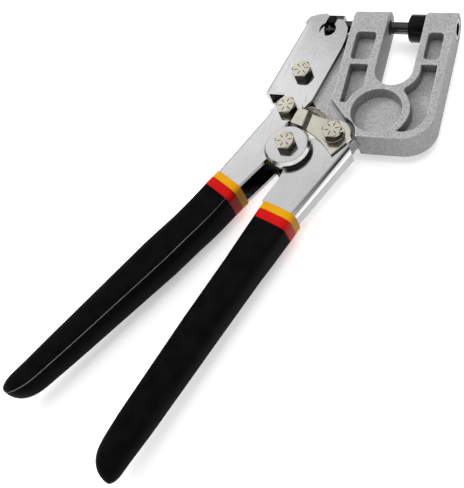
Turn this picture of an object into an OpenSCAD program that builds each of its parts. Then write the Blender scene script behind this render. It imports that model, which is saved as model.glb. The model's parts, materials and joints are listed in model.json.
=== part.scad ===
// One-hand sheet-metal stud crimper: cast C-frame head with a lever-driven
// round punch, two pressed channel handles and a swinging lock plate.
// Axes: +X along the punch towards the die, +Y up the arms of the head,
// +Z out of the front face. Millimetres. Drawn closed and latched.

/* [Head] */
// Thickness of the cast frame
head_t = 19.6; // [18:0.2:26]
// Floor left between the front and back pockets
pocket_floor = 4; // [3:0.5:6]
// Thickness of the casting's lug and tail
lug_t = 8.9; // [7:0.1:9]
// Radius of the throat between the arms
throat_r = 11.4; // [9:0.1:12]

/* [Punch and die] */
// Diameter of the punch where it is guided
punch_d = 8.8; // [7:0.1:10]
// Diameter of the punch nose
nose_d = 7.6; // [5:0.1:7.6]
// Diameter of the hole in the die
die_hole_d = 8.1; // [7.8:0.1:9]
// Outside diameter of the die collar
die_d = 17.1; // [14:0.1:20]
// Radius of the die screw's thread
screw_r = 4.7; // [4:0.1:5]
// Radius of the die screw's head
screw_head_r = 7.15; // [6.5:0.05:7.5]
// Diameter of the cross pin
cross_pin_d = 5.8; // [5:0.1:6]

/* [Sheet parts] */
// Sheet thickness of lever and handles
sheet = 2.5; // [2:0.1:2.5]
// Thickness of the lock plate
latch_t = 1.5; // [1:0.1:1.5]
// Side gap between stacked plates
side_gap = 0.3; // [0.2:0.05:0.4]

/* [Fasteners] */
// Bolt diameter
bolt_d = 6.35; // [6:0.05:6.4]
// Hexagon size across flats
hex_af = 11.1; // [10:0.1:12]
// Bolt head height
head_h = 4.7; // [4:0.1:6]
// Nut height
nut_h = 5.6; // [4:0.1:7]
// Bushing diameter
bush_d = 10; // [9:0.1:10]

/* [Grips] */
// Length of each grip with its bands
grip_len = 175; // [150:1:200]
// Length of the yellow band
yellow_len = 5; // [3:0.5:8]
// Length of the red band
red_len = 6; // [3:0.5:8]

/* [Hidden] */
$fn = 96;
// Bottom centre of the closed tool's bounding box
shift = [76.75, 149.87, 17.5];
// Pivots: lever, link, main and head
D = [-56.4, -43.3];
A = [-58.4, -71.8];
C = [-51.3, -98.7];
B = [-26.0, -87.0];
pin_x = -47.55;
// Height of the punch axis
axis_y = -1;
// Plate levels from the middle plane
z_in = lug_t / 2 + side_gap;
z_mid = z_in + sheet;
z_out0 = z_mid + side_gap;
z_out = z_out0 + sheet;
// Running clearance on the radius
run = 0.05;
// Middle of the throat's round end
throat = [-0.1, -39.3];
throat_wall = 4.5;
// Left and right ends of the head along the punch axis
head_x0 = -33.5;
head_x1 = 29.9;
// Middle of the round pocket, and the radius of the rim round it
boss = [-4.5, -69];
boss_rim = 19.6;
// Outer corner of the casting
corner = [12, -69.7];
corner_r = 17.9;
// Lean of the lever, and its eye for the link bushing, in the lever's own frame
lever_a = -13.47;
eye = [4.7, -28.2];
lever_back = -17.4;
// Lean of each handle, and where its first band starts
la = 30;
ls = [-82.5, -122.5];
ra = 19.4;
rs = [-47.6, -138];
// Lean and start of the left grip past its bands
lb = 33.3;
lt = [-80.9, -123.5];

module at(p, z = 0) {
  translate([p[0], p[1], z]) children();
}

// Local frame whose +Y runs down a handle leaning a degrees from -Y
module down(p, a) {
  translate([p[0], p[1], 0]) rotate([0, 0, 180 - a]) children();
}

module xcone(x0, x1, r0, r1) {
  translate([x0, axis_y, 0]) rotate([0, 90, 0]) cylinder(r1 = r0, r2 = r1, h = x1 - x0);
}

module xcyl(x0, x1, r) {
  translate([x0, axis_y, 0]) rotate([0, 90, 0]) cylinder(r = r, h = x1 - x0);
}

module plate(h) {
  linear_extrude(height = h, center = true) children();
}

// Corner to remove so that a long edge along Y at x = 0, z = 0 is rounded
// for material lying at +x and -z
module bend(r, len) {
  rotate([-90, 0, 0]) linear_extrude(height = len) difference() {
    translate([-1, -1]) square([r + 1, r + 1]);
    translate([r, r]) circle(r = r, $fn = 48);
  }
}

module two_bends(x, z, r, y0, len) {
  translate([x, y0, z]) bend(r, len);
  mirror([0, 0, 1]) translate([x, y0, z]) bend(r, len);
}

// Hexagon from z = 0 to z = h with its top corners rounded off
module hex(h) {
  across = hex_af / cos(30);
  rim = 1.1;
  intersection() {
    cylinder(d = across, h = h, $fn = 6);
    translate([0, 0, h - rim]) cylinder(r1 = hex_af / 2 + 1.9, r2 = hex_af / 2 - 0.3, h = rim);
  }
  cylinder(d = across, h = h - rim, $fn = 6);
}

// Bolt: head stands on z_head, shank ends at z_end
module bolt(z_head, z_end) {
  difference() {
    union() {
      translate([0, 0, z_head]) hex(head_h);
      translate([0, 0, z_end + 0.7]) cylinder(d = bolt_d, h = z_head - z_end);
      translate([0, 0, z_end]) cylinder(d1 = bolt_d - 1.4, d2 = bolt_d, h = 0.7);
    }
    for (k = [0:5])
      translate([0, 0, z_head + head_h]) rotate([0, 0, 60 * k + 15])
        translate([2.0, -0.25, -0.25]) cube([2.4, 0.5, 1]);
  }
}

module nut(z_top) {
  translate([0, 0, z_top]) mirror([0, 0, 1]) difference() {
    hex(nut_h);
    translate([0, 0, -1]) cylinder(d = bolt_d + 0.1, h = nut_h + 2);
  }
}

module ring(z0, z1, ro, ri) {
  translate([0, 0, z0]) difference() {
    cylinder(r = ro, h = z1 - z0);
    translate([0, 0, -1]) cylinder(r = ri, h = z1 - z0 + 2);
  }
}

// Rounded rectangle from (x0, y0) to (x1, y1)
module rrect(x0, y0, x1, y1, r) {
  translate([x0 + r, y0]) square([x1 - x0 - 2 * r, y1 - y0]);
  translate([x0, y0 + r]) square([x1 - x0, y1 - y0 - 2 * r]);
  for (x = [x0 + r, x1 - r], y = [y0 + r, y1 - r])
    translate([x, y]) circle(r = r, $fn = 32);
}

// ---- head -------------------------------------------------------------
module frame_2d() {
  difference() {
    union() {
      translate([head_x0, -87.6]) square([45.5, 87.6 + axis_y]);
      translate([throat[0] + throat_r, corner[1]])
        square([head_x1 - throat[0] - throat_r, axis_y - corner[1]]);
      translate(corner) circle(r = corner_r);
      translate([0, -80]) square([12, 20]);
    }
    translate(throat) circle(r = throat_r);
    translate([throat[0] - throat_r, throat[1]]) square([2 * throat_r, 50]);
    translate(B) circle(r = 12.5);
    polygon([[-34, -61.6], [-33.5, -62.2], [-22.4, -74.7], [-26, -87], [-34, -90]]);
    translate([-40, -100]) square([14, 20]);
  }
}

module web_2d() {
  polygon([[-30, -18], [-33.5, -20], [-60.86, -34.91], D, [-51.65, -51.53],
    [-46, -62], [-38, -72], [-35.18, -84.54], B, [-21.5, -95.37],
    [-14, -87.6], [-10, -80], [-22, -60]]);
  translate(D) circle(r = 9.5);
  translate(B) circle(r = 9.5);
}

module pockets_2d() {
  rrect(-28.6, -32.7, -16.1, -12.0, 2.5);
  rrect(15.5, -31.2, 24.8, -11.5, 2.5);
  difference() {
    translate([-27.6, -64.4]) square([11.2, 28]);
    translate(throat) circle(r = throat_r + throat_wall);
    translate(boss) circle(r = boss_rim);
  }
  difference() {
    union() {
      translate([9, corner[1]]) square([16, 34.4]);
      translate(corner) circle(r = corner_r - 4.9);
    }
    translate(throat) circle(r = throat_r + throat_wall);
    translate(boss) circle(r = boss_rim);
  }
}

module head_body() {
  difference() {
    union() {
      plate(head_t) frame_2d();
      plate(lug_t) web_2d();
      xcyl(head_x0, throat[0] - throat_r, head_t / 2);
      xcyl(throat[0] + throat_r, head_x1, head_t / 2);
    }
    for (m = [0, 1]) mirror([0, 0, m]) {
      translate([0, 0, pocket_floor / 2]) linear_extrude(height = 20) pockets_2d();
      at(boss, pocket_floor / 2)
        cylinder(r1 = 14.2, r2 = 15.2, h = (head_t - pocket_floor) / 2 + 0.001);
    }
    xcyl(-40, 0, punch_d / 2 + run);
    xcyl(0, 40, screw_r + 0.15);
    xcyl(20.2, 40, screw_head_r + 0.2);
    at(D, -20) cylinder(d = bolt_d + 0.1, h = 40);
    at(B, -20) cylinder(d = bolt_d + 0.1, h = 40);
  }
}

module die_body() {
  x0 = 0.9;
  x1 = throat[0] + throat_r;
  difference() {
    union() {
      xcyl(x0 + 1, x1 - 0.8, die_d / 2);
      xcone(x0, x0 + 1, die_d / 2 - 1, die_d / 2);
      xcone(x1 - 0.8, x1, die_d / 2, die_d / 2 - 0.8);
    }
    xcyl(0, 6, die_hole_d / 2);
    xcyl(7, 20, screw_r + 0.05);
  }
}

module screw_body() {
  difference() {
    union() {
      xcyl(7.3, 20.4, screw_r);
      xcyl(20.4, 29.2, screw_head_r);
      xcone(29.2, 29.7, screw_head_r, screw_head_r - 0.5);
    }
    translate([24.2, axis_y, 0]) rotate([0, 90, 0])
      cylinder(d = 7.9 / cos(30), h = 10, $fn = 6);
  }
}

module punch_body() {
  difference() {
    union() {
      xcyl(head_x0 - 0.5, -10.4, punch_d / 2);
      xcyl(-11, 1.6, nose_d / 2);
      xcone(1.6, 2, nose_d / 2, nose_d / 2 - 0.4);
      xcyl(-42, head_x0, nose_d / 2);
      intersection() {
        xcyl(-52.5, -41.5, 7);
        cube([200, 40, lug_t + 0.2], center = true);
      }
    }
    translate([pin_x, axis_y, -20]) cylinder(d = cross_pin_d + 0.1, h = 40);
  }
}

// ---- lever --------------------------------------------------------------
module lever_2d() {
  difference() {
    polygon([[lever_back, -19.4], [lever_back, 36], [-16.4, 41.4], [-11.3, 44.9],
      [-6.4, 46.9], [-4.0, 45.2], [1.5, 43.8], [3.1, 44.6],
      [6.4, 44.5], [11.4, 39.6], [13.7, 32.4], [14.6, 25], [14.7, -16.3],
      [11.0, -29.0], [-1.6, -29.0], [-3.9, -16.3]]);
    translate([-0.7, 35.3]) circle(r = 5.35);
    translate([-4.3, 35]) square([6.2, 20]);
  }
}

module lever_body() {
  at(D) rotate([0, 0, lever_a]) difference() {
    union() {
      plate(2 * z_mid) lever_2d();
      at(eye, -z_mid) cylinder(r = 7.8, h = 2 * z_mid);
    }
    translate([lever_back + sheet, -60, -z_in]) cube([60, 120, 2 * z_in]);
    translate([-30, 36, -z_in]) cube([30, 30, 2 * z_in]);
    translate([-30, -60, -z_in]) cube([30, 40.6, 2 * z_in]);
    two_bends(lever_back, z_mid, 3, -30, 66);
    cylinder(d = bolt_d + 2 * run, h = 60, center = true);
    at(eye, -30) cylinder(d = bush_d + 0.66, h = 60);
  }
}

// ---- handles ---------------------------------------------------------------
// Folded end of a channel inside its grip, web at xw, open edge at xo,
// half thickness zt, stepped in once it is past the bands
module tang(xw, xo, zt) {
  s = xw > xo ? 1 : -1;
  wall = 1.75;
  xw2 = xw - 1.6 * s;
  xo2 = xo + 1.4 * s;
  zt2 = min(zt - 0.4, 7.5);
  difference() {
    union() {
      translate([min(xw, xo), -4, -zt]) cube([abs(xw - xo), 14.5, 2 * zt]);
      translate([min(xw2, xo2), 8, -zt2]) cube([abs(xw2 - xo2), 62, 2 * zt2]);
    }
    translate([s > 0 ? xo - 20 : xw + wall, -30, -zt + wall])
      cube([s > 0 ? xw - wall - xo + 20 : 60, 38, 2 * zt - 2 * wall]);
    translate([s > 0 ? xo - 20 : xw2 + wall, 7, -zt2 + wall])
      cube([s > 0 ? xw2 - wall - xo + 20 : 60, 90, 2 * zt2 - 2 * wall]);
  }
}

module left_2d() {
  difference() {
    polygon([[-69.5, -73.8], [-66.6, -70.0], A, [-54.0, -81.5], [-54.5, -86.0],
      C, [-60.5, -104.0], [-62.2, -107.8], [-76.3, -130.4], [-93.0, -122.6]]);
    translate([-53.2, -83.8]) circle(r = 3.8);
  }
  translate(A) circle(r = 9);
  translate(C) circle(r = 12.6);
}

module left_body() {
  difference() {
    union() {
      difference() {
        plate(2 * z_out) left_2d();
        down([-69.5, -73.8], 25.7) {
          translate([-80, -40, -z_out0]) cube([80 - sheet, 200, 2 * z_out0]);
          translate([-80, -60, -z_out0]) cube([160, 60, 2 * z_out0]);
          mirror([1, 0, 0]) two_bends(0, z_out, 3, 0, 70);
        }
        down(ls, la) translate([-60, -0.05, -40]) cube([120, 80, 80]);
      }
      down(ls, la) tang(8, -7, z_out - 0.45);
    }
    at(A, -20) cylinder(d = bolt_d + 0.1, h = 40);
    at(C, -20) cylinder(d = bolt_d + 0.1, h = 40);
  }
}

module right_2d() {
  difference() {
    polygon([C, [-43.5, -91.5], [-39.5, -89.8], [-34.0, -89.0], B, [-16.8, -92.0],
      [-14.2, -95.9], [-38.5, -146.4], [-59.9, -136.9], [-52.1, -118.5],
      [-51.0, -112.5], [-57.5, -106.5]]);
    translate([-40.2, -86.4]) circle(r = 3.8);
  }
  translate(C) circle(r = 12);
  translate(B) circle(r = 9.8);
}

module right_body() {
  difference() {
    union() {
      difference() {
        plate(2 * z_mid) right_2d();
        down([-14.2, -95.9], 25.7) {
          translate([sheet, -60, -z_in]) cube([80, 200, 2 * z_in]);
          translate([-80, -60, -z_in]) cube([160, 60.2, 2 * z_in]);
          two_bends(0, z_mid, 4, -5, 86);
        }
        down(rs, ra) translate([-60, -0.05, -40]) cube([120, 80, 80]);
      }
      down(rs, ra) tang(-10.2, 9, z_mid - 0.45);
    }
    at(C, -20) cylinder(d = bush_d + 2 * run, h = 40);
    at(B, -20) cylinder(d = bolt_d + 2 * run, h = 40);
  }
}

module band(p, a, x0, x1, t, s0, len, xa, xb, zt) {
  down(p, a) translate([0, s0, 0]) rotate([-90, 0, 0]) linear_extrude(height = len)
    difference() {
      rrect(x0, -t / 2, x1, t / 2, 3.2);
      translate([xa - 0.05, -zt - 0.05]) square([xb - xa + 0.1, 2 * zt + 0.1]);
    }
}

// Rounded section across a grip from x0 to x1
module section(s, x0, x1, t, r) {
  for (x = [x0 + r, x1 - r], z = [-1, 1])
    translate([x, s, z * (t / 2 - r)]) rotate([-90, 0, 0])
      cylinder(r = r, h = 0.5, $fn = 24);
}

module knob(s, x, t, r) {
  for (z = [-1, 1]) translate([x, s, z * (t / 2 - r)]) sphere(r = r, $fn = 24);
}

module left_sleeve() {
  s0 = yellow_len + red_len + 0.02;
  difference() {
    union() {
      hull() {
        down(ls, la) section(s0, -11.4, 9.9, 22.4, 3.4);
        down(lt, lb) section(60, -13.3, 10.9, 21.2, 4.5);
      }
      hull() {
        down(lt, lb) section(60, -13.3, 10.9, 21.2, 4.5);
        down(lt, lb) section(130, -11.6, 8.7, 18.6, 5);
      }
      hull() {
        down(lt, lb) section(130, -11.6, 8.7, 18.6, 5);
        down(lt, lb) knob(158, -4.4, 18, 6);
        down(lt, lb) knob(164, 2.8, 17, 5);
        down(lt, lb) knob(grip_len - 1.6, 2.8, 12.6, 5);
      }
    }
    down(ls, la) translate([-5.7, 10, -7.6]) cube([12.2, 60.2, 15.2]);
  }
}

module right_sleeve() {
  s0 = yellow_len + red_len + 0.02;
  difference() {
    union() {
      hull() {
        down(rs, ra) section(s0, -12.2, 10.9, 18.8, 3.4);
        down(rs, ra) section(80, -10.8, 11.4, 18.4, 4.5);
      }
      hull() {
        down(rs, ra) section(80, -10.8, 11.4, 18.4, 4.5);
        down(rs, ra) section(145, -9.8, 10.8, 17.6, 5);
      }
      hull() {
        down(rs, ra) section(145, -9.8, 10.8, 17.6, 5);
        down(rs, ra) knob(163, 4.2, 17, 6);
        down(rs, ra) knob(166, -3.6, 16.4, 5);
        down(rs, ra) knob(grip_len - 0.4, -4.2, 11, 4.5);
      }
    }
    down(rs, ra) translate([-8.7, 10, -6.5]) cube([16.4, 60.2, 13]);
  }
}

// ---- lock plate -----------------------------------------------------------
module latch_2d() {
  polygon([[-24.7, -101.1], [-15.0, -89.0], B, [-24.1, -79.7], [-32, -77],
    [-46.2, -72.99], [-46.2, -77.4], [-47.4, -84.1],
    [-40.5, -87.1], [-34.7, -90.9], [-29.2, -96]]);
  translate(B) circle(r = 9.8);
}

module latch_end_2d() {
  polygon([[-45.8, -73.1], [-45.8, -77.5], [-46.9, -84.32], [-51.2, -82.6], [-51.2, -72.2],
    [-49.7, -72.0]]);
}

module latch_body() {
  z0 = z_mid + 0.1;
  z1 = z_out + 0.2;
  difference() {
    union() {
      translate([0, 0, z0]) linear_extrude(height = latch_t) latch_2d();
      translate([0, 0, z1]) linear_extrude(height = latch_t) latch_end_2d();
      translate([0, 0, z0]) linear_extrude(height = z1 + latch_t - z0)
        polygon([[-45.4, -73.22], [-45.4, -77.6], [-46.4, -84.53], [-47.4, -84.1],
          [-46.2, -77.4], [-46.2, -72.99]]);
      translate([-40.85, -74.5, z0]) rotate([0, 0, -15.8]) rotate([57, 0, 0])
        linear_extrude(height = latch_t) difference() {
          translate([0, -1.2]) intersection() {
            translate([0, 0.9]) circle(r = 7.1);
            translate([-9, 0]) square([18, 10]);
          }
          translate([-20, -20]) square([40, 19.2]);
        }
    }
    at(B, -20) cylinder(d = bolt_d + 2 * run, h = 60);
  }
}

// ---- named parts -----------------------------------------------------------
module head_casting() { color([0.66, 0.67, 0.67]) translate(shift) head_body(); }
module die_collar() { color([0.07, 0.07, 0.08]) translate(shift) die_body(); }
module die_screw() { color([0.10, 0.10, 0.11]) translate(shift) screw_body(); }
module punch() { color([0.07, 0.07, 0.08]) translate(shift) punch_body(); }
module punch_cross_pin() {
  color([0.62, 0.62, 0.63]) translate(shift) translate([pin_x, axis_y, 0])
    cylinder(d = cross_pin_d, h = 2 * (z_mid + 0.2), center = true);
}
module lever_channel() { color([0.82, 0.83, 0.85]) translate(shift) lever_body(); }
module lever_pivot_bolt() {
  color([0.76, 0.73, 0.62]) translate(shift) at(D) bolt(z_mid + 0.1, -13.7);
}
module lever_pivot_nut() {
  color([0.76, 0.73, 0.62]) translate(shift) at(D) nut(-z_mid - 0.1);
}
module left_handle_channel() { color([0.82, 0.83, 0.85]) translate(shift) left_body(); }
module left_yellow_band() {
  color([0.93, 0.67, 0.05]) translate(shift)
    band(ls, la, -11.4, 9.9, 22.4, 0, yellow_len, -7, 8, z_out - 0.45);
}
module left_red_band() {
  color([0.78, 0.05, 0.05]) translate(shift)
    band(ls, la, -11.4, 9.9, 22.4, yellow_len + 0.01, red_len, -7, 8, z_out - 0.45);
}
module left_grip() { color([0.03, 0.03, 0.03]) translate(shift) left_sleeve(); }
module right_handle_channel() { color([0.82, 0.83, 0.85]) translate(shift) right_body(); }
module right_yellow_band() {
  color([0.93, 0.67, 0.05]) translate(shift)
    band(rs, ra, -12.2, 10.9, 18.8, 0, yellow_len, -10.2, 9, z_mid - 0.45);
}
module right_red_band() {
  color([0.78, 0.05, 0.05]) translate(shift)
    band(rs, ra, -12.2, 10.9, 18.8, yellow_len + 0.01, red_len, -10.2, 9, z_mid - 0.45);
}
module right_grip() { color([0.03, 0.03, 0.03]) translate(shift) right_sleeve(); }
module main_pivot_bolt() {
  color([0.76, 0.73, 0.62]) translate(shift) at(C) bolt(z_out + 3.1, -17.5);
}
module main_pivot_disc() {
  color([0.76, 0.73, 0.62]) translate(shift) at(C) difference() {
    union() {
      translate([0, 0, z_out]) cylinder(r = 14, h = 1);
      translate([0, 0, z_out + 1]) cylinder(r1 = 14, r2 = 12.5, h = 2.1);
    }
    cylinder(d = bolt_d + 0.1, h = 30);
  }
}
module main_pivot_washer() {
  color([0.76, 0.73, 0.62]) translate(shift) at(C) ring(-z_out - 1.2, -z_out, 8, 3.3);
}
module main_pivot_nut() {
  color([0.76, 0.73, 0.62]) translate(shift) at(C) nut(-z_out - 1.2);
}
module main_pivot_bushing() {
  color([0.70, 0.70, 0.70]) translate(shift) at(C)
    ring(-z_out0 + 0.02, z_out0 - 0.02, bush_d / 2, bolt_d / 2 + 0.05);
}
module link_bolt() { color([0.76, 0.73, 0.62]) translate(shift) at(A) bolt(z_out, -16.4); }
module link_nut() { color([0.76, 0.73, 0.62]) translate(shift) at(A) nut(-z_out); }
module link_bushing() {
  color([0.70, 0.70, 0.70]) translate(shift) at(A)
    ring(-z_out0 + 0.02, z_out0 - 0.02, bush_d / 2, bolt_d / 2 + 0.05);
}
module head_pivot_bolt() {
  color([0.76, 0.73, 0.62]) translate(shift) at(B) bolt(z_mid + latch_t + 1.4, -13.7);
}
module latch_washer() {
  color([0.76, 0.73, 0.62]) translate(shift) at(B)
    ring(z_mid + latch_t + 0.2, z_mid + latch_t + 1.4, 6.6, 3.3);
}
module head_pivot_nut() {
  color([0.76, 0.73, 0.62]) translate(shift) at(B) nut(-z_mid - 0.1);
}
module lock_latch() { color([0.76, 0.73, 0.62]) translate(shift) latch_body(); }

head_casting();
die_collar();
die_screw();
punch();
punch_cross_pin();
lever_channel();
lever_pivot_bolt();
lever_pivot_nut();
left_handle_channel();
left_yellow_band();
left_red_band();
left_grip();
right_handle_channel();
right_yellow_band();
right_red_band();
right_grip();
main_pivot_bolt();
main_pivot_disc();
main_pivot_washer();
main_pivot_nut();
main_pivot_bushing();
link_bolt();
link_nut();
link_bushing();
head_pivot_bolt();
latch_washer();
head_pivot_nut();
lock_latch();
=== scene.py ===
import json
import math

import bmesh
import bpy
import numpy as np
from mathutils import Matrix, Vector


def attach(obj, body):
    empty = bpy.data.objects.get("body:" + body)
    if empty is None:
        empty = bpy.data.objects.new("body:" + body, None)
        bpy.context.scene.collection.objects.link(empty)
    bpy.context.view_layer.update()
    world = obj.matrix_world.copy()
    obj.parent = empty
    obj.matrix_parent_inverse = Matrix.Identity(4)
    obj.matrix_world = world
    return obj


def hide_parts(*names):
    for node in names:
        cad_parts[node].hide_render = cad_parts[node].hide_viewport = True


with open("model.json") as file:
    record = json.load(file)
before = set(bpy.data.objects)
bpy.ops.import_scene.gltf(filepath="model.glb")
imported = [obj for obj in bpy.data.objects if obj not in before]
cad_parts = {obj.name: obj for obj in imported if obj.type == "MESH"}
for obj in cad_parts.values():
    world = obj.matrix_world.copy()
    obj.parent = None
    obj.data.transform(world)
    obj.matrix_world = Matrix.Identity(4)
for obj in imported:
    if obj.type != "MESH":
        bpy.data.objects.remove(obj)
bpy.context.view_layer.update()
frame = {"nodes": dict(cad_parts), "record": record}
bpy.context.view_layer.update()

# Lengths are in mm in the tool's own frame, and SHIFT carries them to the shared frame
MM = 0.001
SHIFT = Vector((76.75, 149.87, 17.5)) * MM
NODES = frame["nodes"]
BODY = {n: body for body, names in frame["record"]["behaviour"]["bodies"].items() for n in names}

# Bolt heads: centre of the pivot and height of the head's top
BOLT_TOPS = {
    "lever_pivot_bolt": (-56.4, -43.3, 12.05),
    "link_bolt": (-58.4, -71.8, 14.75),
    "main_pivot_bolt": (-51.3, -98.7, 17.85),
    "head_pivot_bolt": (-26.0, -87.0, 14.85),
}
HEAD_PIVOT = Vector((-26.0, -87.0))

# Start of each folded handle end and its lean in degrees; the left grip leans further than its bands
LEFT_END, LEFT_LEAN = (-82.5, -122.5), 30.0
LEFT_GRIP_END, LEFT_GRIP_LEAN = (-80.9, -123.5), 33.3
RIGHT_END, RIGHT_LEAN = (-47.6, -138.0), 19.4
# The yellow band, the red band and the grip follow each other down the handle
YELLOW_END = 5.0
RED_END = 11.0
AROUND = 72


# ---------------------------------------------------------------- materials
def material(name):
    m = bpy.data.materials.new(name)
    m.use_nodes = True
    return m, m.node_tree, m.node_tree.nodes["Principled BSDF"]


def coords(nt):
    return nt.nodes.new("ShaderNodeTexCoord").outputs["Object"]


def noise(nt, vec, scale, detail, rough, dist=0.0):
    n = nt.nodes.new("ShaderNodeTexNoise")
    n.inputs["Scale"].default_value = scale
    n.inputs["Detail"].default_value = detail
    n.inputs["Roughness"].default_value = rough
    n.inputs["Distortion"].default_value = dist
    nt.links.new(vec, n.inputs["Vector"])
    return n.outputs["Fac"]


def stretch(nt, vec, scale):
    mp = nt.nodes.new("ShaderNodeMapping")
    mp.inputs["Scale"].default_value = scale
    nt.links.new(vec, mp.inputs["Vector"])
    return mp.outputs["Vector"]


def grey(v):
    return (v, v, v)


def ramp(nt, fac, stops):
    """Colour ramp through (position, colour) stops; a plain number stands for a grey."""
    r = nt.nodes.new("ShaderNodeValToRGB")
    cr = r.color_ramp
    while len(cr.elements) < len(stops):
        cr.elements.new(0.5)
    for e, (p, c) in zip(cr.elements, stops):
        e.position = p
        e.color = (*(c if isinstance(c, tuple) else grey(c)), 1.0)
    nt.links.new(fac, r.inputs["Fac"])
    return r.outputs["Color"]


def bump(nt, heights):
    """Normal bent by (factor, strength, distance in mm) entries, one on top of the other."""
    last = None
    for fac, strength, dist in heights:
        b = nt.nodes.new("ShaderNodeBump")
        b.inputs["Strength"].default_value = strength
        b.inputs["Distance"].default_value = dist * MM
        nt.links.new(fac, b.inputs["Height"])
        if last is not None:
            nt.links.new(last, b.inputs["Normal"])
        last = b.outputs["Normal"]
    return last


def mixed(nt, a, b, fac, mode="MIX"):
    mix = nt.nodes.new("ShaderNodeMix")
    mix.data_type = "RGBA"
    mix.blend_type = mode
    for sock, v in ((mix.inputs["A"], a), (mix.inputs["B"], b), (mix.inputs["Factor"], fac)):
        if isinstance(v, (int, float)):
            sock.default_value = v
        elif isinstance(v, tuple):
            sock.default_value = (*v, 1.0)
        else:
            nt.links.new(v, sock)
    return mix.outputs["Result"]


def product(nt, first, *others):
    for other in others:
        first = mixed(nt, first, other, 1.0, "MULTIPLY")
    return first


def upright(nt, dark, lo, hi):
    """Painted shade: full value on faces that look up or down, darker on upright ones."""
    up = nt.nodes.new("ShaderNodeSeparateXYZ")
    nt.links.new(nt.nodes.new("ShaderNodeNewGeometry").outputs["Normal"], up.inputs["Vector"])
    size = nt.nodes.new("ShaderNodeMath")
    size.operation = "ABSOLUTE"
    nt.links.new(up.outputs["Z"], size.inputs[0])
    return ramp(nt, size.outputs[0], [(lo, dark), (hi, 1.0)])


def shaded(nt, reach, stops):
    """Darker where other surfaces stand within reach mm."""
    ao = nt.nodes.new("ShaderNodeAmbientOcclusion")
    ao.samples = 8
    ao.inputs["Distance"].default_value = reach * MM
    return ramp(nt, ao.outputs["AO"], stops)


def mat_cast():
    """Grainy cast metal with painted shade in its corners, hollow edges and upright faces, and a painted
    highlight on its rims.
    """
    m, nt, b = material("cast")
    v = coords(nt)
    fine = noise(nt, v, 2100.0, 2.0, 0.75)
    mid = noise(nt, v, 700.0, 4.0, 0.65)
    big = noise(nt, v, 70.0, 3.0, 0.5)
    grain = ramp(nt, fine, [(0.30, 0.21), (0.50, 0.49), (0.70, 0.76)])
    spot = ramp(nt, mid, [(0.34, 0.72), (0.52, 1.0), (0.75, 1.12)])
    tint = ramp(nt, big, [(0.3, (0.92, 0.92, 0.93)), (0.7, 1.0)])
    # Painted shade where other surfaces stand near
    corner_shade = shaded(nt, 7.0, [(0.22, 0.38), (0.66, 1.0)])
    point = nt.nodes.new("ShaderNodeNewGeometry").outputs["Pointiness"]
    # Painted highlight on convex edges and painted shade on concave ones
    edge_light_and_shade = ramp(nt, point, [(0.40, 0.55), (0.50, 1.0), (0.58, 1.45)])
    # upright() adds painted shade on upright faces
    col = product(nt, grain, spot, tint, corner_shade, edge_light_and_shade, upright(nt, 0.62, 0.10, 0.60))
    nt.links.new(col, b.inputs["Base Color"])
    b.inputs["Metallic"].default_value = 0.35
    b.inputs["Specular IOR Level"].default_value = 0.35
    nt.links.new(ramp(nt, mid, [(0.3, 0.48), (0.7, 0.68)]), b.inputs["Roughness"])
    nt.links.new(bump(nt, [(mid, 0.45, 0.4), (fine, 0.55, 0.2)]), b.inputs["Normal"])
    return m


def mat_metal(name, colour, rough, wear=0.06, brushed=None, wavy=0.10, scratches=0.0, crevice_shade=0.0, sides=1.0):
    """Bare or plated metal. brushed stretches the fine grain, crevice is the reach in mm of painted shade in
    crevices, and sides below 1 is painted shade on upright faces.
    """
    m, nt, b = material(name)
    v = coords(nt)
    cloud = noise(nt, v, 90.0, 4.0, 0.6)
    fine = noise(nt, stretch(nt, v, brushed) if brushed else v, 1400.0, 3.0, 0.6)
    worn = tuple(c * (1 - wear) for c in colour)
    col = ramp(nt, cloud, [(0.3, worn), (0.7, colour)])
    gloss = ramp(nt, fine, [(0.2, rough * 0.7), (0.8, rough * 1.4)])
    if scratches:
        line = noise(nt, stretch(nt, v, (0.9, 0.035, 0.5)), 900.0, 2.0, 0.5, 0.6)
        patch = noise(nt, v, 45.0, 2.0, 0.5)
        hair = ramp(nt, line, [(0.66, 0.0), (0.70, 1.0)])
        hair = product(nt, hair, ramp(nt, patch, [(0.45, 0.0), (0.6, 1.0)]))
        col = mixed(nt, col, tuple(c * 0.84 for c in colour), hair)
        gloss = mixed(nt, gloss, grey(min(1.0, rough + scratches)), hair)
    # Painted shade in crevices, near other surfaces
    if crevice_shade:
        col = product(nt, col, shaded(nt, crevice_shade, [(0.18, 0.06), (0.62, 1.0)]))
    # Painted shade on upright faces
    if sides < 1.0:
        col = product(nt, col, upright(nt, sides, 0.03, 0.22))
    nt.links.new(col, b.inputs["Base Color"])
    nt.links.new(gloss, b.inputs["Roughness"])
    b.inputs["Metallic"].default_value = 1.0
    nt.links.new(bump(nt, [(cloud, wavy, 0.6), (fine, 0.04, 0.1)]), b.inputs["Normal"])
    return m


def mat_vinyl(name, colour, dark, rough, grain=0.2, spec=0.5):
    """Dipped vinyl, faintly cloudy and grained, with painted shade on its upright faces."""
    m, nt, b = material(name)
    v = coords(nt)
    cloud = noise(nt, v, 120.0, 3.0, 0.5)
    fine = noise(nt, v, 1900.0, 3.0, 0.65)
    # upright() adds painted shade on upright faces
    col = product(nt, ramp(nt, cloud, [(0.25, dark), (0.7, colour)]), upright(nt, 0.52, 0.10, 0.70))
    nt.links.new(col, b.inputs["Base Color"])
    gloss = ramp(nt, fine, [(0.2, rough * 0.85), (0.8, min(1.0, rough * 1.15))])
    nt.links.new(gloss, b.inputs["Roughness"])
    b.inputs["Specular IOR Level"].default_value = spec
    nt.links.new(bump(nt, [(cloud, 0.15, 0.8), (fine, grain, 0.12)]), b.inputs["Normal"])
    return m


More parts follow.
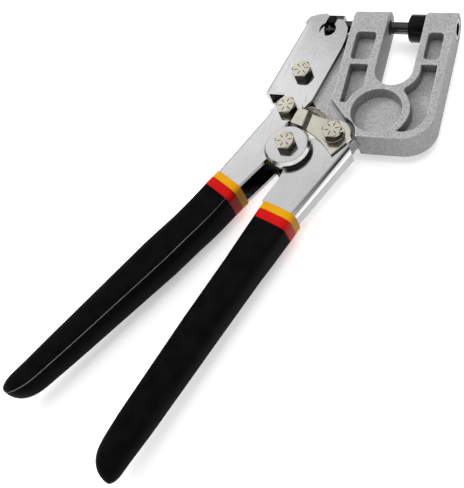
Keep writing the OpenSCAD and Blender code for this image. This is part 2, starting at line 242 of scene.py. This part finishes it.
M_CAST = mat_cast()
# crevice and sides paint shade into these metals: in crevices and on upright faces
M_CHROME = mat_metal("chrome", (0.86, 0.86, 0.865), 0.09, brushed=(1.0, 0.12, 1.0), scratches=0.30,
                     crevice_shade=9.0, sides=0.50)
M_DISC = mat_metal("chrome_disc", (0.84, 0.84, 0.83), 0.12, wavy=0.06)
M_NICKEL = mat_metal("nickel", (0.88, 0.84, 0.71), 0.17, wear=0.16, wavy=0.16, crevice_shade=1.5, sides=0.16)
M_LATCH = mat_metal("latch_plate", (0.92, 0.89, 0.77), 0.20, wear=0.18, wavy=0.35, scratches=0.15,
                    crevice_shade=4.0, sides=0.80)
M_BLACK = mat_metal("black_oxide", (0.030, 0.030, 0.033), 0.30, wear=0.5)
M_ROD = mat_metal("polished_rod", (0.16, 0.155, 0.15), 0.16, wear=0.5)
M_STEEL = mat_metal("bare_steel", (0.46, 0.46, 0.47), 0.28, wear=0.15)
# Dark nickel for painted shade in the bolt heads' grooves
M_GROOVE_SHADE = mat_metal("nickel_groove_shade", (0.20, 0.19, 0.15), 0.35, wear=0.2)
M_YELLOW = mat_vinyl("yellow_vinyl", (0.68, 0.33, 0.003), (0.60, 0.26, 0.002), 0.30, spec=0.10)
M_RED = mat_vinyl("red_vinyl", (0.56, 0.005, 0.005), (0.43, 0.004, 0.004), 0.30, spec=0.10)
M_GRIP = mat_vinyl("black_vinyl", (0.0045, 0.0045, 0.005), (0.002, 0.002, 0.0022), 0.55, grain=0.7, spec=0.03)
# Light grey seam: a painted highlight along the left grip's crease
M_SEAM_HIGHLIGHT = mat_vinyl("vinyl_seam_highlight", (0.16, 0.16, 0.16), (0.10, 0.10, 0.10), 0.40, grain=0.3)

# Bolts, nuts and washers are nickel; the rest is named here
MATS = {n: M_NICKEL for n in NODES}
for mat, names in (
    (M_CAST, ("head_casting",)),
    (M_CHROME, ("lever_channel", "left_handle_channel", "right_handle_channel")),
    (M_DISC, ("main_pivot_disc",)),
    (M_LATCH, ("lock_latch",)),
    (M_BLACK, ("die_collar", "punch_cross_pin")),
    (M_ROD, ("punch", "die_screw")),
    (M_STEEL, ("main_pivot_bushing", "link_bushing")),
    (M_YELLOW, ("left_yellow_band", "right_yellow_band")),
    (M_RED, ("left_red_band", "right_red_band")),
    (M_GRIP, ("left_grip", "right_grip")),
):
    for n in names:
        MATS[n] = mat
for n, o in NODES.items():
    o.data.materials.clear()
    o.data.materials.append(MATS[n])


# ---------------------------------------------------------------- helpers
def put(x, y, z):
    """Shared-frame place, in metres, of a point of the tool."""
    return Vector((x, y, z)) * MM + SHIFT


def link(name, data):
    o = bpy.data.objects.new(name, data)
    bpy.context.scene.collection.objects.link(o)
    return o


def from_bmesh(name, bm, mat=None, smooth=True):
    """A new object from bm, which is freed."""
    me = bpy.data.meshes.new(name)
    bm.to_mesh(me)
    bm.free()
    for p in me.polygons:
        p.use_smooth = smooth
    if mat is not None:
        me.materials.append(mat)
    return link(name, me)


def bake(o):
    """Applies the modifiers of o."""
    bpy.context.view_layer.update()
    dg = bpy.context.evaluated_depsgraph_get()
    me = bpy.data.meshes.new_from_object(o.evaluated_get(dg))
    o.modifiers.clear()
    o.data = me


def cad_copy(node, name):
    src = NODES[node]
    me = src.data.copy()
    me.transform(src.matrix_world)
    me.materials.clear()
    me.materials.append(MATS[node])
    return link(name, me)


def stand_in(o, node):
    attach(o, BODY[node])
    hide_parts(node)


def skin(bm, rows):
    """Faces between each ring of vertices and the next."""
    for a, b in zip(rows, rows[1:]):
        for k in range(len(a)):
            j = (k + 1) % len(a)
            bm.faces.new((a[k], a[j], b[j], b[k]))


def rounded(o, width, angle=35.0):
    """Breaks the edges of o that turn by more than angle degrees."""
    o.data.set_sharp_from_angle(angle=math.radians(angle))
    mod = o.modifiers.new("edges", "BEVEL")
    mod.width = width * MM
    mod.segments = 2
    mod.limit_method = "ANGLE"
    mod.angle_limit = math.radians(angle)
    mod.harden_normals = True
    bake(o)


def softened(node, width, angle=32.0):
    """The CAD piece with its sharp edges broken by a small bevel."""
    o = cad_copy(node, node + "_soft")
    bm = bmesh.new()
    bm.from_mesh(o.data)
    bmesh.ops.remove_doubles(bm, verts=bm.verts, dist=0.002 * MM)
    bmesh.ops.dissolve_limit(bm, angle_limit=math.radians(0.6), verts=bm.verts, edges=bm.edges)
    bm.to_mesh(o.data)
    bm.free()
    for p in o.data.polygons:
        p.use_smooth = True
    rounded(o, width, angle)
    stand_in(o, node)


# ---------------------------------------------------------------- casting
def casting():
    """The CAD casting with all of its edges run soft."""
    o = cad_copy("head_casting", "head_casting_cast")
    remesh = o.modifiers.new("remesh", "REMESH")
    remesh.mode = "VOXEL"
    remesh.voxel_size = 0.36 * MM
    remesh.use_smooth_shade = True
    smooth = o.modifiers.new("smooth", "SMOOTH")
    smooth.factor = 0.5
    smooth.iterations = 6
    bake(o)
    for p in o.data.polygons:
        p.use_smooth = True
    o.data.materials.clear()
    o.data.materials.append(M_CAST)
    stand_in(o, "head_casting")


# ---------------------------------------------------------------- grips and bands
def down(start, lean, x, s, z):
    """Point of a handle's own frame: s runs down the handle, x across it."""
    a = math.radians(lean)
    c, d = math.cos(a), math.sin(a)
    return put(start[0] - s * d - x * c, start[1] - s * c + x * d, z)


def left_place(x, s, z):
    """Below the bands the left sleeve swings over to the grip's own lean."""
    w = min(1.0, max(0.0, (s - RED_END) / 30.0))
    band = down(LEFT_END, LEFT_LEAN, x, s, z)
    return band.lerp(down(LEFT_GRIP_END, LEFT_GRIP_LEAN, x, s, z), w)


def right_place(x, s, z):
    return down(RIGHT_END, RIGHT_LEAN, x, s, z)


# Each grip is given by its low side, high side and half thickness at stations along the handle,
# and each side runs in to the apex from its own place on a superellipse
LEFT = {
    "place": left_place, "length": 178.6, "apex": 4.6,
    "low_from": 155.0, "low_curve": 2.6, "high_from": 168.0, "high_curve": 2.0,
    "at": (RED_END, 60, 130, 158),
    "low": (-11.3, -13.2, -12.0, -11.2),
    "high": (9.8, 10.8, 8.6, 7.6),
    "half": (11.1, 10.6, 9.5, 9.2),
}
RIGHT = {
    "place": right_place, "length": 178.4, "apex": -6.2,
    "low_from": 171.0, "low_curve": 2.0, "high_from": 156.0, "high_curve": 2.8,
    "at": (RED_END, 80, 145, 163),
    "low": (-12.1, -10.8, -10.0, -9.4),
    "high": (10.8, 11.3, 10.7, 9.9),
    "half": (9.3, 9.1, 8.7, 8.3),
}
# Power of a grip's section along it: squarer beside the bands, rounder at the tip
GRIP_POWER = ((RED_END, 40, 140, 175), (5.0, 3.4, 2.7, 2.2))
BAND_POWER = 5.2


def ring_point(t, low, high, half, power):
    """Point at angle t of a superellipse between low and high."""
    c, k = math.cos(t), math.sin(t)
    u = math.copysign(abs(c) ** (2.0 / power), c)
    w = math.copysign(abs(k) ** (2.0 / power), k)
    return 0.5 * (low + high) + 0.5 * (high - low) * u, half * w


def run_in(s, start, end, power):
    """1 up to start, then down to 0 at end."""
    if s <= start:
        return 1.0
    return math.sqrt(max(0.0, 1 - ((s - start) / (end - start)) ** power))


def first_rounding(g):
    return min(g["low_from"], g["high_from"])


def grip_point(s, t, g):
    low, high, half = (np.interp(s, g["at"], g[side]) for side in ("low", "high", "half"))
    end, apex = g["length"], g["apex"]
    low = apex + (low - apex) * run_in(s, g["low_from"], end, g["low_curve"])
    high = apex + (high - apex) * run_in(s, g["high_from"], end, g["high_curve"])
    half *= run_in(s, first_rounding(g), end, 4.0)
    x, z = ring_point(t, low, high, half, np.interp(s, *GRIP_POWER))
    return g["place"](x, s, z)


def stations(g):
    """Places of the rings: even down to the rounding, then closer and closer to the tip."""
    first, end = first_rounding(g), g["length"]
    body = np.linspace(RED_END + 0.02, first, 60)
    return [*body, *(first + (end - first) * math.sin(k * math.pi / 80) for k in range(1, 40))]


def sleeve(name, node, g):
    """A dipped grip: a row of soft-cornered rings that closes on a slanted, rounded end."""
    bm = bmesh.new()
    turns = [2 * math.pi * k / AROUND for k in range(AROUND)]
    rows = [[bm.verts.new(grip_point(s, t, g)) for t in turns] for s in stations(g)]
    skin(bm, rows)
    bm.faces.new(rows[0])
    tip = bm.verts.new(g["place"](g["apex"], g["length"], 0.0))
    for k in range(AROUND):
        bm.faces.new((rows[-1][k], rows[-1][(k + 1) % AROUND], tip))
    bmesh.ops.recalc_face_normals(bm, faces=bm.faces)
    o = from_bmesh(name, bm, MATS[node])
    o.data.set_sharp_from_angle(angle=math.radians(60))
    stand_in(o, node)


def band_ring(name, node, place, s0, s1, low, high, half):
    """A dipped colour band: a soft-cornered sleeve round the folded handle end, hollow inside."""
    wall = 1.5
    shoulder = [(0.0, 0.72), (0.05, 0.30), (0.25, 0.05), (0.7, 0.0)]
    outline = [(s0 + d, inset) for d, inset in shoulder]
    outline += [(s1 - d, inset) for d, inset in reversed(shoulder)]
    outline += [(s1, wall), (s0, wall)]
    bm = bmesh.new()
    rows = []
    for s, inset in outline:
        row = []
        for k in range(AROUND):
            t = 2 * math.pi * k / AROUND
            x, z = ring_point(t, low + inset, high - inset, half - inset, BAND_POWER)
            row.append(bm.verts.new(place(x, s, z)))
        rows.append(row)
    skin(bm, rows + rows[:1])
    bmesh.ops.recalc_face_normals(bm, faces=bm.faces)
    o = from_bmesh(name, bm, MATS[node])
    o.data.set_sharp_from_angle(angle=math.radians(60))
    stand_in(o, node)


def bead(name, node, points, radius, mat):
    """A thin raised seam along a row of points, tapered at both ends."""
    bm = bmesh.new()
    rows = []
    n = len(points)
    sides = 8
    for i, p in enumerate(points):
        along = (points[min(i + 1, n - 1)] - points[max(i - 1, 0)]).normalized()
        a = along.cross(Vector((0, 0, 1))).normalized()
        b = along.cross(a)
        r = radius * MM * min(1.0, 0.25 + 6.0 * min(i, n - 1 - i) / n)
        turns = [2 * math.pi * q / sides for q in range(sides)]
        rows.append([bm.verts.new(p + (a * math.cos(t) + b * math.sin(t)) * r) for t in turns])
    skin(bm, rows)
    bm.faces.new(rows[0])
    bm.faces.new(rows[-1])
    bmesh.ops.recalc_face_normals(bm, faces=bm.faces)
    o = from_bmesh(name, bm, mat)
    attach(o, BODY[node])


# ---------------------------------------------------------------- painted shade in bolt grooves
def painted_groove_shade(name, node, x, y, top):
    """Six dark strokes that lie in the grooves of a bolt head: painted shade in the grooves."""
    count, first_turn = 6, 15.0
    inner, outer = 1.98, 4.42
    middle = Vector((0.5 * (inner + outer), 0, 0)) * MM
    size = Vector((outer - inner, 0.49, 0.16)) * MM
    below_top = 0.13
    bm = bmesh.new()
    for k in range(count):
        a = math.radians(first_turn + 360.0 * k / count)
        m = Matrix.Translation(put(x, y, top - below_top)) @ Matrix.Rotation(a, 4, "Z")
        m = m @ Matrix.Translation(middle) @ Matrix.Diagonal((*size, 1.0))
        bmesh.ops.create_cube(bm, size=1.0, matrix=m)
    o = from_bmesh(name, bm, M_GROOVE_SHADE, smooth=False)
    mod = o.modifiers.new("soft", "BEVEL")
    mod.width = 0.05 * MM
    mod.segments = 1
    bake(o)
    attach(o, BODY[node])


# ---------------------------------------------------------------- lock plate
def arc_through(p, q, r, n):
    """n + 1 points on the circle through p, q and r, from p to r."""
    (ax, ay), (bx, by), (cx, cy) = p, q, r
    aa, bb, cc = ax * ax + ay * ay, bx * bx + by * by, cx * cx + cy * cy
    d = 2 * (ax * (by - cy) + bx * (cy - ay) + cx * (ay - by))
    ux = (aa * (by - cy) + bb * (cy - ay) + cc * (ay - by)) / d
    uy = (aa * (cx - bx) + bb * (ax - cx) + cc * (bx - ax)) / d
    rad = math.hypot(ax - ux, ay - uy)
    t0, t1 = math.atan2(ay - uy, ax - ux), math.atan2(cy - uy, cx - ux)
    t1 += 2 * math.pi * round((t0 - t1) / (2 * math.pi))
    turns = [t0 + (t1 - t0) * k / n for k in range(n + 1)]
    return [(ux + rad * math.cos(t), uy + rad * math.sin(t)) for t in turns]


def sheet_metal(name, outline, place, thick, cuts):
    """A flat outline cut into strips, placed by place(x, y) and given a thickness."""
    bm = bmesh.new()
    bm.faces.new([bm.verts.new((x, y, 0.0)) for x, y in outline])
    for x in cuts:
        everything = bm.verts[:] + bm.edges[:] + bm.faces[:]
        bmesh.ops.bisect_plane(bm, geom=everything, plane_co=(x, 0, 0), plane_no=(1, -0.1, 0))
    bmesh.ops.recalc_face_normals(bm, faces=bm.faces)
    for f in bm.faces:
        if f.normal.z < 0:
            f.normal_flip()
    for v in bm.verts:
        v.co = place(v.co.x, v.co.y)
    o = from_bmesh(name, bm, M_LATCH)
    mod = o.modifiers.new("thick", "SOLIDIFY")
    mod.thickness = thick * MM
    mod.offset = -1.0
    mod.use_even_offset = True
    bake(o)
    return o


def drilled(o, x, y, z, radius):
    """Cuts an upright round hole through o."""
    bm = bmesh.new()
    bmesh.ops.create_cone(bm, cap_ends=True, segments=48, radius1=radius * MM, radius2=radius * MM,
                          depth=20 * MM, matrix=Matrix.Translation(put(x, y, z)))
    tool = from_bmesh("cutter", bm, smooth=False)
    mod = o.modifiers.new("hole", "BOOLEAN")
    mod.operation = "DIFFERENCE"
    mod.object = tool
    bake(o)
    bpy.data.objects.remove(tool)


def lock_plate():
    """Flat round the head pivot, with an end that rises over the left handle."""
    flat, rise = 8.85, 2.9
    bend_from, bend_run = -39.8, 5.6
    eye = 9.8
    turns = [math.radians(a) for a in range(0, 91, 6)]
    outline = [(-53.4, -82.3)] + arc_through((-47.4, -84.1), (-34.7, -90.9), (-24.7, -101.1), 16)
    outline += [(-15.2, -89.0)]
    outline += [tuple(HEAD_PIVOT + eye * Vector((math.cos(a), math.sin(a)))) for a in turns]
    outline += [(-32.0, -76.9), (-46.2, -73.0), (-49.7, -72.0), (-51.0, -72.2)]

    def place(x, y):
        u = min(1.0, max(0.0, (bend_from - x + 0.1 * (y + 77.0)) / bend_run))
        dish = 0.17 * math.exp(-(((x + 38.0) / 5.0) ** 2))
        return put(x, y, flat + rise * u * u * (3 - 2 * u) - dish)

    o = sheet_metal("lock_plate_sheet", outline, place, 1.4, [-48.5 + 0.3 * k for k in range(48)])
    drilled(o, *HEAD_PIVOT, 8.0, 3.23)
    rounded(o, 0.22)
    stand_in(o, "lock_latch")


def thumb_tab():
    """Half-round tab that stands up from the lock plate's upper edge."""
    half_width, height = 8.0, 6.9
    turn = Matrix.Translation(put(-40.6, -74.55, 7.6)) @ Matrix.Rotation(math.radians(-15.8), 4, "Z")
    turn = turn @ Matrix.Rotation(math.radians(57.0), 4, "X")
    turns = [math.radians(a) for a in range(0, 181, 6)]
    outline = [(half_width * math.cos(a), -0.8 + height * math.sin(a)) for a in turns]

    def lean(x, y):
        return turn @ (Vector((x, y, 1.5 - 0.008 * x * x)) * MM)

    tab = sheet_metal("lock_plate_tab", outline, lean, 1.3, [-7.2 + 0.8 * k for k in range(19)])
    rounded(tab, 0.3)
    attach(tab, BODY["lock_latch"])


# ---------------------------------------------------------------- pieces
sleeve("left_grip_dip", "left_grip", LEFT)
sleeve("right_grip_dip", "right_grip", RIGHT)
for side, place, low, high, half in (
    ("left", left_place, -11.4, 9.9, 11.2),
    ("right", right_place, -12.2, 10.9, 9.4),
):
    band_ring(side + "_yellow_ring", side + "_yellow_band", place, 0.0, YELLOW_END, low, high, half)
    band_ring(side + "_red_ring", side + "_red_band", place, YELLOW_END + 0.01, RED_END, low, high, half)
# The seam bead's light grey is a painted highlight along the crease
seam = [grip_point(s, math.radians(128), LEFT) for s in stations(LEFT)[:-6]]
bead("left_grip_seam", "left_grip", seam, 0.27, M_SEAM_HIGHLIGHT)
# Painted shade in the grooves of each bolt head
for n, (x, y, top) in BOLT_TOPS.items():
    painted_groove_shade(n + "_groove_shade", n, x, y, top)
lock_plate()
thumb_tab()
casting()
for n in NODES:
    if n.endswith("channel"):
        softened(n, 0.35)
    elif n.endswith("bolt") or n.endswith("nut"):
        softened(n, 0.22, 25.0)
    elif n in ("latch_washer", "main_pivot_disc", "main_pivot_washer", "die_collar", "die_screw", "punch"):
        softened(n, 0.2)


# ---------------------------------------------------------------- stage
def area(name, size, energy, loc):
    """A square lamp aimed at the tool that doesn't show in its reflections."""
    d = bpy.data.lights.new(name, "AREA")
    d.shape = "SQUARE"
    d.size = size
    d.energy = energy
    o = link(name, d)
    o.location = loc
    o.rotation_euler = (-Vector(loc)).to_track_quat("-Z", "Y").to_euler()
    o.visible_glossy = False


def mat_floor():
    m, nt, b = material("floor")
    tone = ramp(nt, noise(nt, coords(nt), 4.0, 2.0, 0.6), [(0.2, 0.96), (0.8, 0.98)])
    nt.links.new(tone, b.inputs["Base Color"])
    b.inputs["Roughness"].default_value = 0.9
    b.inputs["Specular IOR Level"].default_value = 0.1
    b.inputs["Emission Color"].default_value = (1.0, 1.0, 1.0, 1.0)
    b.inputs["Emission Strength"].default_value = 0.42
    return m


def studio():
    """A bright, softly clouded sky with one dark side for the chrome to reflect."""
    world = bpy.data.worlds.new("studio")
    bpy.context.scene.world = world
    world.use_nodes = True
    nt = world.node_tree
    vec = nt.nodes.new("ShaderNodeTexCoord").outputs["Generated"]
    height = nt.nodes.new("ShaderNodeSeparateXYZ")
    nt.links.new(vec, height.inputs["Vector"])
    across = nt.nodes.new("ShaderNodeVectorMath")
    across.operation = "DOT_PRODUCT"
    nt.links.new(vec, across.inputs[0])
    across.inputs[1].default_value = (0.45, -0.215, 0.0)
    side = nt.nodes.new("ShaderNodeMath")
    side.operation = "ADD"
    side.inputs[1].default_value = 0.5
    nt.links.new(across.outputs["Value"], side.inputs[0])
    rise = ramp(nt, height.outputs["Z"], [(0.0, 0.10), (0.24, 0.07), (0.42, 0.30), (0.60, 0.86), (1.0, 1.0)])
    strip = ramp(nt, height.outputs["Z"],
                 [(0.0, 0.9), (0.10, 1.3), (0.36, 1.2), (0.46, 0.06), (0.80, 0.10), (1.0, 0.70)])
    cloud = ramp(nt, noise(nt, vec, 2.8, 2.0, 0.5, 0.4), [(0.34, 0.66), (0.60, 1.0)])
    fleck = ramp(nt, noise(nt, vec, 11.0, 3.0, 0.55, 0.8), [(0.36, 0.78), (0.58, 1.0)])
    slope = ramp(nt, side.outputs[0], [(0.06, 1.45), (0.20, 1.18), (0.32, 0.86)])
    sky = mixed(nt, rise, strip, ramp(nt, side.outputs[0], [(0.34, 0.0), (0.52, 1.0)]))
    clouds = product(nt, cloud, fleck, slope)
    nt.links.new(product(nt, sky, clouds), nt.nodes["Background"].inputs["Color"])


def camera():
    cam = bpy.data.cameras.new("camera")
    cam.sensor_fit = "VERTICAL"
    cam.sensor_height = 36.0
    cam.lens = 73.77
    cam.clip_end = 20
    right = Vector((0.9181, 0.2668, -0.2930)).normalized()
    ahead = Vector((-0.3824, 0.4025, -0.8318)).normalized()
    up = right.cross(ahead)
    right = ahead.cross(up)
    turn = Matrix((right, up, -ahead)).transposed().to_4x4()
    o = link("camera", cam)
    o.matrix_world = Matrix.Translation(put(148.5, -392.6, 479.55)) @ turn
    bpy.context.scene.camera = o


sheet = bmesh.new()
bmesh.ops.create_grid(sheet, x_segments=40, y_segments=40, size=3.0)
floor = from_bmesh("floor", sheet, mat_floor(), smooth=False)
floor.location = (0, 0, -0.5 * MM)
studio()
area("key", 0.35, 7.0, (-0.75, 0.25, 0.75))
area("top", 0.8, 7.0, (0.25, 0.1, 1.1))
camera()
bpy.context.scene.view_settings.view_transform = "Standard"
